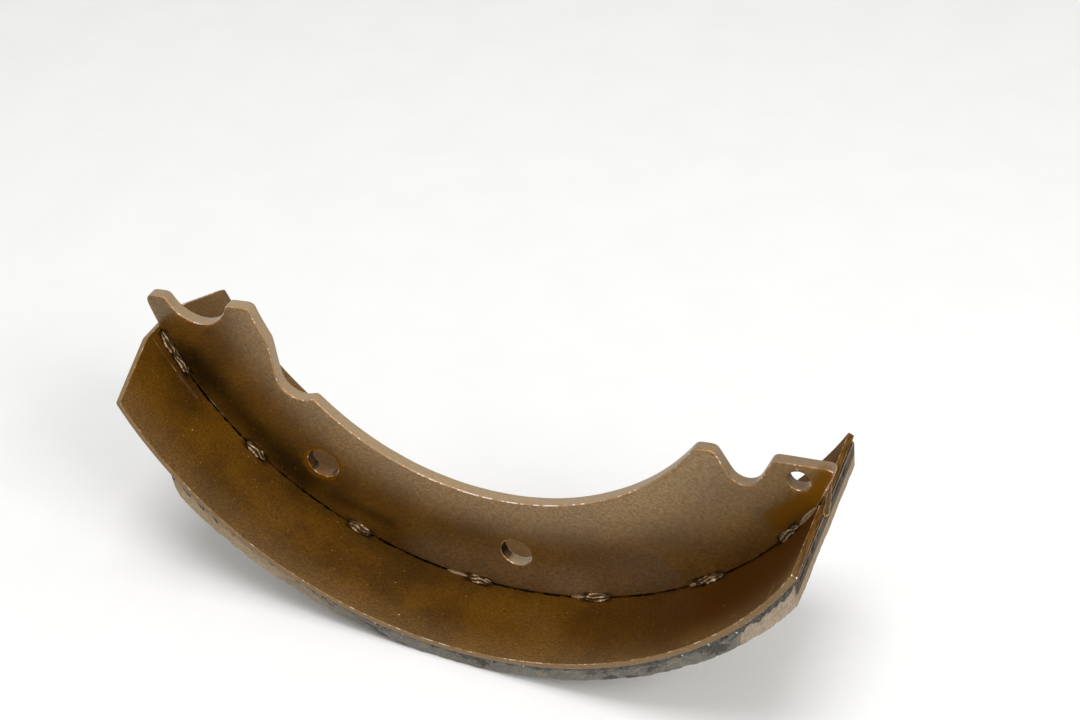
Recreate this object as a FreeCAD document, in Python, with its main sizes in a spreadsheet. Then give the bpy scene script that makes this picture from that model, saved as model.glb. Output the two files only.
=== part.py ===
import FreeCAD, Part
import math
import os
import Sketcher

# Bonded brake shoe for a 200 x 50 drum, in millimetres and degrees.
# It is drawn in its own upright frame: the drum axis is Y through the zero point, the shoe hangs below it,
# the heel end with the round seat is at -X and the toe end with the notched tab is at +X.
# All pieces then share one placement: lifted until the friction face touches z = 0, and rolled about the drum
# axis until the centre of mass is straight below it, which is how the shoe rocks to rest on its lining.

Vector = FreeCAD.Vector

sizes = {
    # lining, bond and rim, from the drum inwards
    "drum_radius": 100.0,
    "lining_thickness": 4.0,
    "lining_side_margin": 0.5,      # margins run from the edges of the rim in to the lining
    "lining_heel_margin": 11.6,
    "lining_toe_margin": 0.1,
    "lining_heel_round": 1.8,
    "bond_thickness": 0.3,
    "bond_clearance": 0.05,         # above and below the adhesive
    "bond_squeeze": 0.2,            # the adhesive stands this far out past the lining's sides
    "bond_set_back": 0.3,           # and stops this short of its ends
    "rim_thickness": 1.6,
    "rim_width": 51.2,
    "rim_heel_angle": 75.4,         # angles run from straight below the drum axis
    "rim_toe_angle": 60.0,
    "rim_flat_width": 14.0,         # straight middle of the heel end, between its slanted corners
    "rim_corner_drop": 6.6,
    "rim_edge_break": 0.35,
    # web plate
    "web_thickness": 3.2,
    "web_band": 30.3,               # between its outer and inner edge
    "web_gap": 0.1,                 # between the web's edge and the rim, bridged by the welds
    "web_edge_break": 0.3,
    "heel_end_drop": 14.2,          # end planes, below the drum axis
    "toe_end_drop": 36.3,
    "heel_tip_round": 1.8,
    "toe_tip_round": 1.0,
    "tooth_round": 0.6,
    "heel_horn_width": 6.35,        # in the end plane: tip, horn, seat, tooth, then the relief
    "heel_seat_radius": 9.1,
    "heel_seat_depth": 6.95,
    "heel_tooth_width": 9.95,
    "relief_radius": 6.0,
    "relief_bite": 5.8,             # its corner reaches this far past the web's inner edge
    "toe_tip_set_back": 0.95,       # the toe's outer edge is straight and leans in by this much
    "toe_straight_drop": 10.6,      # and starts this far below the end plane
    "toe_land_width": 14.95,        # in the end plane: tip, land, then the notch
    "toe_notch_mouth": 13.8,
    "toe_notch_depth": 8.8,
    "toe_notch_radius": 4.0,
    # holes through the web; insets run from its outer edge or from the toe's tip
    "lever_hole_diameter": 8.9,
    "lever_hole_inset": 13.95,
    "lever_hole_angle": -39.7,
    "steady_hole_diameter": 8.4,
    "steady_hole_inset": 13.15,
    "steady_hole_angle": 0.9,
    "spring_hole_diameter": 5.5,
    "spring_hole_inset": 8.9,
    "spring_hole_drop": 4.7,        # below the toe's end plane
    # projection welds, spaced evenly along both sides of the web
    "weld_count": 7,
    "weld_radius": 1.6,
    "weld_length": 5.5,
    "weld_end_length": 13.0,
    "weld_end_gap": 2.4,            # from the last weld to the end of the rim
    # rest position
    "rest_roll": 6.0,
}

doc = FreeCAD.newDocument("brake_shoe")

sheet = doc.addObject("Spreadsheet::Sheet", "Dims")
for row, (alias, value) in enumerate(sizes.items(), start=1):
    sheet.set("A%d" % row, alias)
    sheet.set("B%d" % row, str(value))
    sheet.setAlias("B%d" % row, alias)
doc.recompute()

# Radii that follow from the stack under the drum
lining_inner = "(Dims.drum_radius - Dims.lining_thickness)"
bond_outer = "(%s - Dims.bond_clearance)" % lining_inner
bond_inner = "(%s - Dims.bond_thickness)" % bond_outer
rim_outer = "(%s - Dims.bond_clearance)" % bond_inner
rim_inner = "(%s - Dims.rim_thickness)" % rim_outer
web_outer = "(%s - Dims.web_gap)" % rim_inner
web_inner = "(%s - Dims.web_band)" % web_outer

# Reaches along X, each from the centre line
heel_tip = "sqrt(%s ^ 2 - Dims.heel_end_drop ^ 2)" % web_outer
toe_tip = "(sqrt(%s ^ 2 - Dims.toe_end_drop ^ 2) - Dims.toe_tip_set_back)" % web_outer
toe_straight_foot = "(Dims.toe_end_drop + Dims.toe_straight_drop)"
seat_half_mouth = "sqrt(Dims.heel_seat_radius ^ 2 - (Dims.heel_seat_radius - Dims.heel_seat_depth) ^ 2)"
seat_reach = "(%s - Dims.heel_horn_width - %s)" % (heel_tip, seat_half_mouth)
relief_reach = "(%s - %s - Dims.heel_tooth_width)" % (seat_reach, seat_half_mouth)
notch_reach = "(%s - Dims.toe_land_width - Dims.toe_notch_mouth / 2)" % toe_tip
lining_heel_reach = "(%s * sin(Dims.rim_heel_angle * 1 deg) - Dims.lining_heel_margin)" % rim_outer
lining_toe_reach = "(%s * sin(Dims.rim_toe_angle * 1 deg) - Dims.lining_toe_margin)" % rim_outer

lining_width = "(Dims.rim_width - 2 * Dims.lining_side_margin)"
bond_width = "(%s + 2 * Dims.bond_squeeze)" % lining_width


def new_body(label):
    body = doc.addObject("PartDesign::Body", label)
    body.Label = label
    return body


def new_sketch(body, name, plane):
    """An empty sketch on one of the body's own origin planes."""
    sketch = body.newObject("Sketcher::SketchObject", name)
    support = [feature for feature in body.Origin.OriginFeatures if feature.Role == plane][0]
    sketch.AttachmentSupport = [(support, "")]
    sketch.MapMode = "FlatFace"
    return sketch


def bind(sketch, constraint, expression):
    """Adds a dimension whose value comes from an expression over the sheet."""
    index = sketch.addConstraint(constraint)
    sketch.setExpression("Constraints[%d]" % index, expression)


def locate(sketch, geometry, point, across, up):
    """Holds a point at across, up from the sketch's origin, starting from where it was drawn."""
    drawn = sketch.getPoint(geometry, point)
    bind(sketch, Sketcher.Constraint("DistanceX", -1, 1, geometry, point, drawn.x), across)
    bind(sketch, Sketcher.Constraint("DistanceY", -1, 1, geometry, point, drawn.y), up)


def chain(sketch, lines):
    """Joins each line's end to the start of the next."""
    for line, following in zip(lines, lines[1:]):
        sketch.addConstraint(Sketcher.Constraint("Coincident", line, 2, following, 1))


def on_circle(radius, degrees):
    """A point drawn on a circle about the sketch's origin."""
    return Vector(radius * math.cos(math.radians(degrees)), radius * math.sin(math.radians(degrees)), 0)


def add_circle(sketch, across, up, radius):
    circle = sketch.addGeometry(Part.Circle(Vector(5, 5, 0), Vector(0, 0, 1), 5))
    locate(sketch, circle, 3, across, up)
    bind(sketch, Sketcher.Constraint("Radius", circle, 5), radius)


def add_hole(sketch, hole):
    """A hole at its inset from the web's outer edge and its angle from straight below the drum axis."""
    circle = "(%s - Dims.%s_inset)" % (web_outer, hole)
    angle = "Dims.%s_angle * 1 deg" % hole
    across = "%s * sin(%s)" % (circle, angle)
    up = "-%s * cos(%s)" % (circle, angle)
    add_circle(sketch, across, up, "Dims.%s_diameter / 2" % hole)


def add_polygon(sketch, corners):
    """A closed outline through corners, each a pair of expressions."""
    step = 360 / len(corners)
    drawn = [on_circle(50, step * k) for k in range(len(corners))]
    lines = [sketch.addGeometry(Part.LineSegment(drawn[k - 1], drawn[k])) for k in range(len(corners))]
    chain(sketch, lines + lines[:1])
    for line, (across, up) in zip(lines, corners):
        locate(sketch, line, 2, across, up)


def add_notch(sketch, across, root, radius, mouth, half_mouth, top):
    """A notch open upwards: a round root whose lowest point is at root, and flanks tangent to it that are
    half_mouth to each side of its middle at height mouth, then straight sides up to top."""
    drawn = [on_circle(5, -10), Vector(7, 10, 0), Vector(7, 14, 0),
             Vector(-7, 14, 0), Vector(-7, 10, 0), on_circle(5, 190)]
    circle = Part.Circle(Vector(0, 0, 0), Vector(0, 0, 1), 5)
    arc = sketch.addGeometry(Part.ArcOfCircle(circle, math.radians(190), math.radians(350)))
    lines = [sketch.addGeometry(Part.LineSegment(a, b)) for a, b in zip(drawn, drawn[1:])]
    chain(sketch, lines)
    sketch.addConstraint(Sketcher.Constraint("Tangent", arc, 2, lines[0], 1))
    sketch.addConstraint(Sketcher.Constraint("Tangent", lines[-1], 2, arc, 1))
    bind(sketch, Sketcher.Constraint("Radius", arc, 5), radius)
    locate(sketch, arc, 3, across, "%s + %s" % (root, radius))
    right = "%s + %s" % (across, half_mouth)
    left = "%s - %s" % (across, half_mouth)
    for line, corner in zip(lines, ((right, mouth), (right, top), (left, top), (left, mouth))):
        locate(sketch, line, 2, *corner)


def pad(body, sketch, name, length):
    feature = body.newObject("PartDesign::Pad", name)
    feature.Profile = sketch
    feature.SideType = "Symmetric"
    feature.setExpression("Length", length)


def revolve(body, sketch, name, heel_angle, toe_angle):
    """Turns a section drawn straight below the drum axis, towards the heel and towards the toe."""
    feature = body.newObject("PartDesign::Revolution", name)
    feature.Profile = sketch
    feature.ReferenceAxis = (sketch, ["H_Axis"])
    feature.Type = "TwoAngles"
    feature.setExpression("Angle", heel_angle)
    feature.setExpression("Angle2", toe_angle)


def cut(body, sketch, name, side="Symmetric"):
    """Cuts a profile through the whole body, both ways from its sketch or to one side."""
    doc.recompute()
    before = body.Shape.Volume
    feature = body.newObject("PartDesign::Pocket", name)
    feature.Profile = sketch
    feature.Type = "ThroughAll"
    feature.SideType = side
    doc.recompute()
    if not body.Shape.Volume < before:
        raise RuntimeError("%s cuts nothing" % name)


def dress_edges(body, name, kind, size, chosen):
    """Rounds (Fillet) or breaks (Chamfer) those edges of the body as it is so far that chosen picks."""
    doc.recompute()
    base = body.Tip
    names = ["Edge%d" % k for k, edge in enumerate(base.Shape.Edges, start=1) if chosen(edge)]
    feature = body.newObject("PartDesign::" + kind, name)
    feature.Base = (base, names)
    feature.setExpression("Radius" if kind == "Fillet" else "Size", size)
    doc.recompute()


def add_strip(body, name, inner, outer, width, heel_angle, toe_angle):
    """A curved strip: its section straight below the drum axis, turned about that axis."""
    sketch = new_sketch(body, name + "_section", "YZ_Plane")
    half = "%s / 2" % width
    add_polygon(sketch, [("-" + half, "-" + inner), (half, "-" + inner),
                         (half, "-" + outer), ("-" + half, "-" + outer)])
    revolve(body, sketch, name + "_strip", heel_angle, toe_angle)


def cut_ends(body, name, heel_reach, toe_reach):
    """Trims a strip to upright end planes."""
    sketch = new_sketch(body, name + "_ends", "XZ_Plane")
    far = "2 * Dims.drum_radius"
    for sign, reach in (("-", heel_reach), ("", toe_reach)):
        near_side = "%s(%s)" % (sign, reach)
        far_side = "%s%s" % (sign, far)
        add_polygon(sketch, [(near_side, "-" + far), (far_side, "-" + far),
                             (far_side, "0"), (near_side, "0")])
    cut(body, sketch, name + "_trim")


def make_rim():
    """The rolled strip that carries the lining, its heel end tapered by two slanted corners."""
    body = new_body("rim")
    add_strip(body, "rim", rim_inner, rim_outer, "Dims.rim_width",
              "Dims.rim_heel_angle", "Dims.rim_toe_angle")
    corners = new_sketch(body, "heel_corners", "YZ_Plane")
    end = "-%s * cos(Dims.rim_heel_angle * 1 deg)" % rim_inner
    for sign in ("-", ""):
        inner_side = "%sDims.rim_flat_width / 2" % sign
        outer_side = "%sDims.rim_width / 2" % sign
        add_polygon(corners, [(inner_side, end), (outer_side, end + " - Dims.rim_corner_drop"),
                              (outer_side, "0"), (inner_side, "0")])
    cut(body, corners, "heel_corner_cuts", "One side")
    dress_edges(body, "rim_edges", "Chamfer", "Dims.rim_edge_break", lambda edge: True)
    return body


def make_bond():
    """The film of adhesive between rim and lining."""
    body = new_body("bond_line")
    add_strip(body, "bond", bond_inner, bond_outer, bond_width, "Dims.rim_heel_angle", "Dims.rim_toe_angle")
    cut_ends(body, "bond", lining_heel_reach + " - Dims.bond_set_back",
             lining_toe_reach + " - Dims.bond_set_back")
    return body


def make_lining():
    """The moulded friction lining, square-ended at the toe and rounded at the heel."""
    body = new_body("friction_lining")
    add_strip(body, "lining", lining_inner, "Dims.drum_radius", lining_width,
              "Dims.rim_heel_angle", "Dims.rim_toe_angle")
    cut_ends(body, "lining", lining_heel_reach, lining_toe_reach)
    heel = min(vertex.X for vertex in body.Shape.Vertexes)
    inner = sizes["drum_radius"] - sizes["lining_thickness"] / 2

    def heel_outer_corner(edge):
        middle = edge.CenterOfMass
        return abs(middle.x - heel) < 0.01 and abs(middle.y) < 0.01 and math.hypot(middle.x, middle.z) > inner

    dress_edges(body, "lining_heel", "Fillet", "Dims.lining_heel_round", heel_outer_corner)
    return body


def make_web():
    """The flat web, blanked from plate: a ring cut off by two level end planes, with the round seat in the
    heel end, the relief inside the heel tooth, the notch in the toe end and three holes."""
    body = new_body("web")
    ring = new_sketch(body, "ring", "XZ_Plane")
    add_circle(ring, "0", "0", web_outer)
    add_circle(ring, "0", "0", web_inner)
    pad(body, ring, "plate", "Dims.web_thickness")

    ends = new_sketch(body, "end_planes", "XZ_Plane")
    far = "2 * Dims.drum_radius"
    add_polygon(ends, [("-" + far, "-Dims.heel_end_drop"), ("0", "-Dims.heel_end_drop"),
                       ("0", "-Dims.toe_end_drop"), (far, "-Dims.toe_end_drop"),
                       (far, far), ("-" + far, far)])
    cut(body, ends, "end_cuts")

    straight = new_sketch(body, "toe_straight", "XZ_Plane")
    foot_reach = "sqrt(%s ^ 2 - %s ^ 2)" % (web_outer, toe_straight_foot)
    add_polygon(straight, [(foot_reach, "-" + toe_straight_foot), (toe_tip, "-Dims.toe_end_drop"),
                           (toe_tip, "0"), (far, "0"), (far, "-" + toe_straight_foot)])
    cut(body, straight, "toe_straight_cut")

    relief = new_sketch(body, "relief", "XZ_Plane")
    middle_reach = "(%s - Dims.relief_radius)" % relief_reach
    middle_circle = "(%s + Dims.relief_bite - Dims.relief_radius)" % web_inner
    middle_drop = "sqrt(%s ^ 2 - %s ^ 2)" % (middle_circle, middle_reach)
    add_notch(relief, "-" + middle_reach, "-%s - Dims.relief_radius" % middle_drop, "Dims.relief_radius",
              "-Dims.heel_end_drop - Dims.relief_radius", "Dims.relief_radius", "-Dims.heel_end_drop")
    cut(body, relief, "relief_cut")

    seat = new_sketch(body, "heel_seat", "XZ_Plane")
    add_circle(seat, "-" + seat_reach,
               "-Dims.heel_end_drop - Dims.heel_seat_depth + Dims.heel_seat_radius", "Dims.heel_seat_radius")
    cut(body, seat, "heel_seat_cut")

    notch = new_sketch(body, "toe_notch", "XZ_Plane")
    add_notch(notch, notch_reach, "-Dims.toe_end_drop - Dims.toe_notch_depth",
              "Dims.toe_notch_radius", "-Dims.toe_end_drop", "Dims.toe_notch_mouth / 2",
              "-Dims.toe_end_drop + Dims.toe_notch_radius")
    cut(body, notch, "toe_notch_cut")

    holes = new_sketch(body, "holes", "XZ_Plane")
    for hole in ("lever_hole", "steady_hole"):
        add_hole(holes, hole)
    add_circle(holes, toe_tip + " - Dims.spring_hole_inset", "-Dims.toe_end_drop - Dims.spring_hole_drop",
               "Dims.spring_hole_diameter / 2")
    cut(body, holes, "hole_cuts")

    face = sizes["web_thickness"] / 2
    tips = {}
    for drop in ("heel_end_drop", "toe_end_drop"):
        in_plane = [vertex for vertex in body.Shape.Vertexes if abs(vertex.Z + sizes[drop]) < 0.01]
        tips[drop] = max(abs(vertex.X) for vertex in in_plane)

    def is_corner(edge, drop, at_tip):
        """True for an edge across the plate's thickness in one end plane, at its outer tip or elsewhere."""
        first, last = edge.Vertexes[0].Point, edge.Vertexes[-1].Point
        across = abs(first.y - last.y) > face
        in_plane = abs(first.z + sizes[drop]) < 0.01
        return across and in_plane and (abs(first.x) > tips[drop] - 0.01) == at_tip

    def on_face(edge):
        """True for an edge of the plate's outline or of a hole, on either face."""
        return edge.BoundBox.YLength < face and abs(edge.BoundBox.Center.y) > face / 2

    for name, radius, drop, at_tip in (("heel_teeth", "tooth_round", "heel_end_drop", False),
                                       ("toe_teeth", "tooth_round", "toe_end_drop", False),
                                       ("heel_tip", "heel_tip_round", "heel_end_drop", True),
                                       ("toe_tip", "toe_tip_round", "toe_end_drop", True)):
        dress_edges(body, name, "Fillet", "Dims." + radius, lambda edge: is_corner(edge, drop, at_tip))
    dress_edges(body, "web_edges", "Chamfer", "Dims.web_edge_break", on_face)
    return body


def rim_bore():
    layers = sum(sheet.get(layer + "_thickness") for layer in ("lining", "bond", "rim"))
    return sheet.get("drum_radius") - layers - 2 * sheet.get("bond_clearance")


def weld_bead(side, angle, length):
    """One bead in the corner between web and rim: a bar with round ends that follows the corner, trimmed by
    the face of the web and the bore of the rim."""
    radius = sheet.get("weld_radius")
    bore = rim_bore()
    face = side * sheet.get("web_thickness") / 2
    half_angle = math.degrees((length / 2 - radius) / bore)
    axis, centre = Vector(0, 1, 0), Vector(0, face, 0)
    bar = Part.makeTorus(bore, radius, centre, axis, 0, 360, 2 * half_angle)
    ends = [Part.makeSphere(radius, Vector(bore * math.sin(turn), face, bore * math.cos(turn)))
            for turn in (0, math.radians(2 * half_angle))]
    bead = bar.fuse(ends).removeSplitter()
    bead.rotate(Vector(0, 0, 0), axis, 180 - angle - half_angle)
    room = Part.makeCylinder(bore, 2 * radius, centre, Vector(0, side, 0))
    return bead.common(room)


def make_welds():
    """The projection welds, alike on both sides of the web; the first and last of each row are drawn out."""
    beads = []
    count = sheet.get("weld_count")
    end_angle = math.degrees((sheet.get("weld_end_gap") + sheet.get("weld_end_length") / 2) / rim_bore())
    first = end_angle - sheet.get("rim_heel_angle")
    pitch = (sheet.get("rim_toe_angle") - end_angle - first) / (count - 1)
    for side in (-1, 1):
        for k in range(count):
            length = sheet.get("weld_end_length" if k in (0, count - 1) else "weld_length")
            angle = first + k * pitch
            beads.extend(weld_bead(side, angle, length).Solids)
    welds = doc.addObject("Part::Feature", "weld_beads")
    welds.Label = "weld_beads"
    welds.Shape = Part.makeCompound(beads)
    return welds


pieces = [make_web(), make_rim(), make_welds(), make_bond(), make_lining()]

for piece in pieces:
    piece.Placement = FreeCAD.Placement(Vector(0, 0, 1), FreeCAD.Rotation(Vector(0, -1, 0), 1))
    piece.setExpression("Placement.Base.z", "Dims.drum_radius")
    piece.setExpression("Placement.Rotation.Angle", "Dims.rest_roll * 1 deg")
doc.recompute()

for thing in doc.Objects:
    if "Invalid" in thing.State or "Error" in thing.State:
        raise RuntimeError("%s was not built" % thing.Label)

os.makedirs("parts", exist_ok=True)
for piece in pieces:
    if piece.Shape.isNull() or not piece.Shape.isValid():
        raise RuntimeError("%s has no valid shape" % piece.Label)
    piece.Shape.exportStep("parts/%s.step" % piece.Label)
    print("%-16s %2d solids %9.1f mm3" % (piece.Label, len(piece.Shape.Solids), piece.Shape.Volume))
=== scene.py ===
import math

import bmesh
import bpy
import numpy as np
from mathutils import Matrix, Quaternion, Vector
from mathutils.geometry import delaunay_2d_cdt


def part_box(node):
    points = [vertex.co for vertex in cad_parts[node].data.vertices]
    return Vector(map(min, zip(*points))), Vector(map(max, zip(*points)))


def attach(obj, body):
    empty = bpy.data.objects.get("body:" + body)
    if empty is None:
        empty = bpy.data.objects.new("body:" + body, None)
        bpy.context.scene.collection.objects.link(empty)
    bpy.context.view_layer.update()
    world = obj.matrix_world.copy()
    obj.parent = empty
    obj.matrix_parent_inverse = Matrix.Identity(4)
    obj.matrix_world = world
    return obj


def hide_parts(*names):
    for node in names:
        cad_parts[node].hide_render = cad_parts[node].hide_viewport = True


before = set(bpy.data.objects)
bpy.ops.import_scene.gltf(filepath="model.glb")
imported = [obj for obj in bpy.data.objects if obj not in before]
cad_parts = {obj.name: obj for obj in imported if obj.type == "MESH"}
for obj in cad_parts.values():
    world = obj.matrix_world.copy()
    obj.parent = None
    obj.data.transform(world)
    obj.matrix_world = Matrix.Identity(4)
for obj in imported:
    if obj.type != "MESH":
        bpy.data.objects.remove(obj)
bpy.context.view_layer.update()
print("frame loaded:", ", ".join(sorted(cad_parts)))

# The shoe hangs below the drum axis, which runs along Y. Angles run from straight below it towards the toe.
shoe = {
    "axisHeight": 0.1,
    "restRoll": 6.0,        # degrees, toe end up
    "liningOuter": 0.1,
    "liningInner": 0.096,
    "rimOuter": 0.0956,
    "rimInner": 0.094,
    "rimHeel": -75.4,       # degrees
    "rimToe": 60.0,
    "webHalf": 0.0016,
}


def onShoe(radius, angle, across):
    # the point at a radius, an angle in radians and a place across
    swung = angle + math.radians(shoe["restRoll"])
    x = radius * np.sin(swung)
    z = shoe["axisHeight"] - radius * np.cos(swung)
    return np.stack([x, np.broadcast_to(across, x.shape), z], axis=-1)


def evenAngle(radius, share, ends):
    # the angle at a share of the way between two upright ends, heelReach and toeReach either side of the axis
    start, end = -np.arcsin(ends["heelReach"] / radius), np.arcsin(ends["toeReach"] / radius)
    return start + (end - start) * share


def wobble(places, seed, longest, shortest, count=28):
    # Sum of sine waves of random direction, phase and length between shortest and longest; its rms is 1.
    rng = np.random.default_rng(seed)
    places = np.asarray(places, float).reshape(len(places), -1)
    lengths = np.exp(rng.uniform(math.log(shortest), math.log(longest), count))
    ways = rng.normal(size=(count, places.shape[1]))
    ways *= (2 * math.pi / lengths / np.linalg.norm(ways, axis=1))[:, None]
    weight = lengths ** 0.6
    total = np.sin(places @ ways.T + rng.uniform(0, 2 * math.pi, count)) @ weight
    return total / math.sqrt((weight ** 2).sum() / 2)


def smoothStep(value, low, high):
    # 0 below low, 1 above high, 3t^2 - 2t^3 between
    t = np.clip((value - low) / (high - low), 0, 1)
    return t * t * (3 - 2 * t)


def addObject(name, data):
    made = bpy.data.objects.new(name, data)
    bpy.context.scene.collection.objects.link(made)
    return made


def meshPiece(name, points, faces, values, slot, finishes, *replaced):
    # values: the attributes that the finishes read, one number or vector for each vertex
    mesh = bpy.data.meshes.new(name)
    mesh.from_pydata(points.tolist(), [], [list(face) for face in faces])
    for key, value in values.items():
        kind, field = ("FLOAT", "value") if value.ndim == 1 else ("FLOAT_VECTOR", "vector")
        layer = mesh.attributes.new(key, kind, "POINT")
        layer.data.foreach_set(field, value.astype(np.float32).ravel())
    shell = bmesh.new()
    shell.from_mesh(mesh)
    bmesh.ops.recalc_face_normals(shell, faces=shell.faces)
    shell.to_mesh(mesh)
    shell.free()
    mesh.polygons.foreach_set("use_smooth", [True] * len(mesh.polygons))
    mesh.update()
    piece = addObject(name, mesh)
    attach(piece, "root")
    if replaced:
        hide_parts(*replaced)
    for finish in finishes:
        mesh.materials.append(finish)
    print(name, "made:", len(mesh.polygons), "faces,", ", ".join(finish.name for finish in finishes))
    return piece


def gridFaces(rows, columns, start=0, wrapRows=False, wrapColumns=False):
    # quads of a grid of vertices, rows by columns, the columns varying fastest
    index = start + np.arange(rows * columns).reshape(rows, columns)
    if wrapRows:
        index = np.vstack([index, index[:1]])
    if wrapColumns:
        index = np.hstack([index, index[:, :1]])
    quads = np.stack([index[:-1, :-1], index[1:, :-1], index[1:, 1:], index[:-1, 1:]], axis=-1)
    return quads.reshape(-1, 4).tolist()


def fan(centre, ring):
    # triangles from one vertex to each edge of a closed ring of vertices
    return np.stack([np.full(len(ring), centre), ring, np.roll(ring, -1)], axis=1).tolist()


def spindleFaces(rows, columns, start=0):
    # a tube's quads and a fan at each end; the two poles follow its own vertices
    pole = start + rows * columns
    head = start + np.arange(columns)
    tail = pole - columns + np.arange(columns)
    return gridFaces(rows, columns, start, wrapColumns=True) + fan(pole, head) + fan(pole + 1, tail[::-1])


def evenRing(corners, step):
    # the closed ring through corners, as points an even step apart along it
    closed = np.vstack([corners, corners[:1]])
    run = np.concatenate([[0], np.cumsum(np.linalg.norm(np.diff(closed, axis=0), axis=1))])
    places = np.linspace(0, run[-1], max(12, int(run[-1] / step)), endpoint=False)
    return np.stack([np.interp(places, run, closed[:, k]) for k in (0, 1)], axis=1)


def softenRing(ring, passes):
    # each point moves half way to the mean of its neighbours, so corners turn round
    for _ in range(passes):
        ring = 0.25 * np.roll(ring, 1, 0) + 0.5 * ring + 0.25 * np.roll(ring, -1, 0)
    return ring


def roundRoom(ring, wanted):
    # the wanted edge radius, held under three quarters of the outline's own radius at a corner
    step = np.roll(ring, -1, 0) - ring
    way = np.unwrap(np.arctan2(step[:, 1], step[:, 0]))
    bend = np.roll(way, -2) - np.roll(way, 2)
    bend = np.where(np.abs(bend) > math.pi, 0, bend)
    limit = 0.75 * 4 * np.linalg.norm(step, axis=1) / np.maximum(bend, 1e-3)
    for _ in range(3):
        limit = np.minimum(limit, np.minimum(np.roll(limit, 1), np.roll(limit, -1)))
    held = np.minimum(wanted, limit)
    for _ in range(4):
        held = np.minimum(held, softenRing(held, 1))
    return held


def turned(ring, anticlockwise):
    # the ring, in the wanted sense
    a, b = ring, np.roll(ring, -1, 0)
    area = (a[:, 0] * b[:, 1] - b[:, 0] * a[:, 1]).sum()
    return ring if (area > 0) == anticlockwise else ring[::-1]


def insideRings(points, rings):
    # a point is inside when an odd number of ring edges lies to its right
    crossings = np.zeros(len(points), int)
    for ring in rings:
        a, b = ring, np.roll(ring, -1, 0)
        slope = (b[:, 0] - a[:, 0]) / np.where(a[:, 1] == b[:, 1], 1e-12, b[:, 1] - a[:, 1])
        for part in np.array_split(np.arange(len(points)), 1 + len(points) // 2000):
            x, y = points[part, :1], points[part, 1:]
            spans = (a[:, 1] > y) != (b[:, 1] > y)
            crossings[part] += (spans & (x < a[:, 0] + (y - a[:, 1]) * slope)).sum(1)
    return crossings % 2 == 1


def ringDistance(points, rings):
    # distance from each point to the nearest ring point
    every = np.vstack(rings)
    parts = np.array_split(points, 1 + len(points) // 1000)
    return np.concatenate([np.sqrt(((p[:, None] - every) ** 2).sum(-1).min(1)) for p in parts])


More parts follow.
